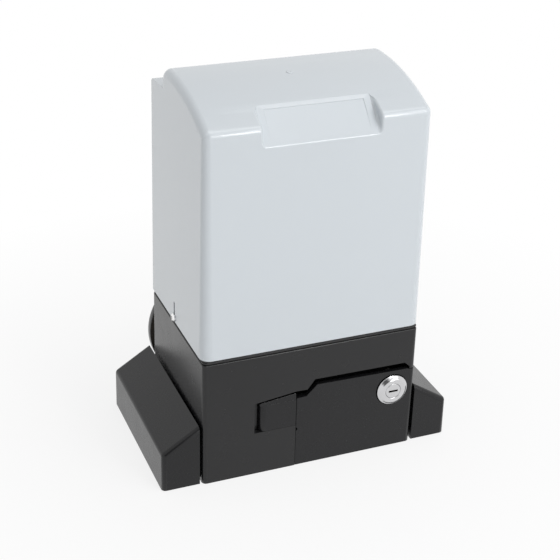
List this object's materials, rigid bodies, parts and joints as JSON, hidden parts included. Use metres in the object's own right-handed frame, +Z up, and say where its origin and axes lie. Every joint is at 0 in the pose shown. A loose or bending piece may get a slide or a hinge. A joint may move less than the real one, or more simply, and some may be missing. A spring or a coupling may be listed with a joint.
{
  "type": "sliding gate motor",
  "caption": "Worm-geared rack drive for a sliding gate: cast base with foot covers, key release door and lock, moulded cover, pinion at the rear.",
  "frame": {"origin": "on the underside of the base, at the centre of its four anchor slots", "axes": "+Z up, -Y towards the front with the release door and lock, +Y towards the rack, +X to the viewer's right seen from the front"},
  "size_m": [0.2624, 0.2036, 0.3302],
  "materials": {
    "base_paint": "fine textured satin paint on cast aluminium",
    "foot_plastic": "finely grained moulded plastic",
    "cover_plastic": "silver-grey moulded plastic, satin",
    "seal_rubber": "matte rubber",
    "bright_steel": "bright plated",
    "zinc_steel": "zinc plated",
    "bearing_steel": "ground steel",
    "gasket": "pressed fibre",
    "cast_aluminium": "as cast",
    "lamination": "stacked sheet, lightly oiled",
    "copper_wire": "enamelled copper wire",
    "machined_steel": "turned",
    "gear_steel": "machined and oiled",
    "spring_steel": "oiled spring wire",
    "bronze": "machined bronze",
    "board_green": "solder mask over glass fibre",
    "terminal_plastic": "moulded",
    "relay_plastic": "moulded",
    "component_black": "moulded",
    "can_plastic": "moulded can",
    "fan_plastic": "moulded",
    "lever_paint": "textured satin paint on cast zinc",
    "lock_chrome": "polished"
  },
  "bodies": {
    "housing": {"base_housing": "base_paint", "base_shell": "base_paint", "foot_cover_left": "foot_plastic", "foot_cover_right": "foot_plastic", "cover": "cover_plastic", "cover_seal": "seal_rubber", "cover_screws": "bright_steel", "levelling_screws": "zinc_steel", "output_bearing_front": "bearing_steel", "output_bearing_rear": "bearing_steel", "gear_cover": "base_paint", "gear_cover_gasket": "gasket", "gear_cover_screws": "zinc_steel", "shaft_seal": "seal_rubber", "worm_bearing_lower": "bearing_steel", "motor_bearing_main": "bearing_steel", "motor_bearing_upper": "bearing_steel", "motor_flange": "cast_aluminium", "flange_screws": "zinc_steel", "motor_upper_bell": "cast_aluminium", "stator_core": "lamination", "stator_windings": "copper_wire", "through_bolts": "zinc_steel", "hinge_pin": "machined_steel", "board_bracket": "zinc_steel", "control_board": "board_green", "board_terminals": "terminal_plastic", "board_relays": "relay_plastic", "board_parts": "component_black", "board_capacitors": "component_black", "transformer": "lamination", "bracket_screws": "zinc_steel", "board_screws": "zinc_steel", "run_capacitor": "can_plastic", "capacitor_cup": "component_black", "sensor_bracket": "zinc_steel", "limit_sensor": "component_black", "cable_gland": "component_black"},
    "rotor": {"worm_shaft": "machined_steel", "rotor_core": "lamination", "cooling_fan": "fan_plastic"},
    "wheel": {"worm_wheel": "bronze"},
    "output": {"output_shaft": "machined_steel", "output_pinion": "gear_steel", "pinion_key": "machined_steel", "pinion_washer": "zinc_steel", "pinion_bolt": "zinc_steel", "clutch_spring": "spring_steel"},
    "clutch": {"clutch_sleeve": "gear_steel", "clutch_pin": "machined_steel"},
    "rod": {"release_rod": "machined_steel"},
    "lever": {"release_lever": "lever_paint", "release_door": "foot_plastic", "door_screws": "zinc_steel", "lock_ring": "lock_chrome", "lock_nut": "zinc_steel"},
    "lock": {"lock_plug": "lock_chrome", "lock_tongue": "zinc_steel"}
  },
  "joints": [
    {"name": "motor_spin", "type": "hinge", "parent": "housing", "child": "rotor", "pos_m": [0.015, 0, 0.17], "axis": [0, 0, 1], "continuous": true},
    {"name": "wheel_spin", "type": "hinge", "parent": "housing", "child": "wheel", "pos_m": [-0.0375, 0, 0.062], "axis": [0, 1, 0], "continuous": true},
    {"name": "output_spin", "type": "hinge", "parent": "housing", "child": "output", "pos_m": [-0.0375, 0, 0.062], "axis": [0, 1, 0], "continuous": true},
    {"name": "clutch_slide", "type": "slide", "parent": "output", "child": "clutch", "axis": [0, 1, 0], "range_m": [0, 0.006], "deforming": ["clutch_spring"]},
    {"name": "rod_slide", "type": "slide", "parent": "housing", "child": "rod", "axis": [0, 1, 0], "range_m": [0, 0.006]},
    {"name": "lever_swing", "type": "hinge", "parent": "housing", "child": "lever", "pos_m": [-0.041, -0.0634, 0.054], "axis": [0, 0, -1], "range_deg": [0, 90]},
    {"name": "lock_turn", "type": "hinge", "parent": "lever", "child": "lock", "pos_m": [0.075, -0.0691, 0.058], "axis": [0, 1, 0], "range_deg": [0, 90]}
  ],
  "couplings": [
    {"joint": "wheel_spin", "follows": "motor_spin", "ratio": 0.03125},
    {"joint": "output_spin", "follows": "motor_spin", "ratio": 0.03125},
    {"joint": "clutch_slide", "follows": "lever_swing", "m_per_rad": 0.0038197},
    {"joint": "rod_slide", "follows": "lever_swing", "m_per_rad": 0.0038197}
  ]
}
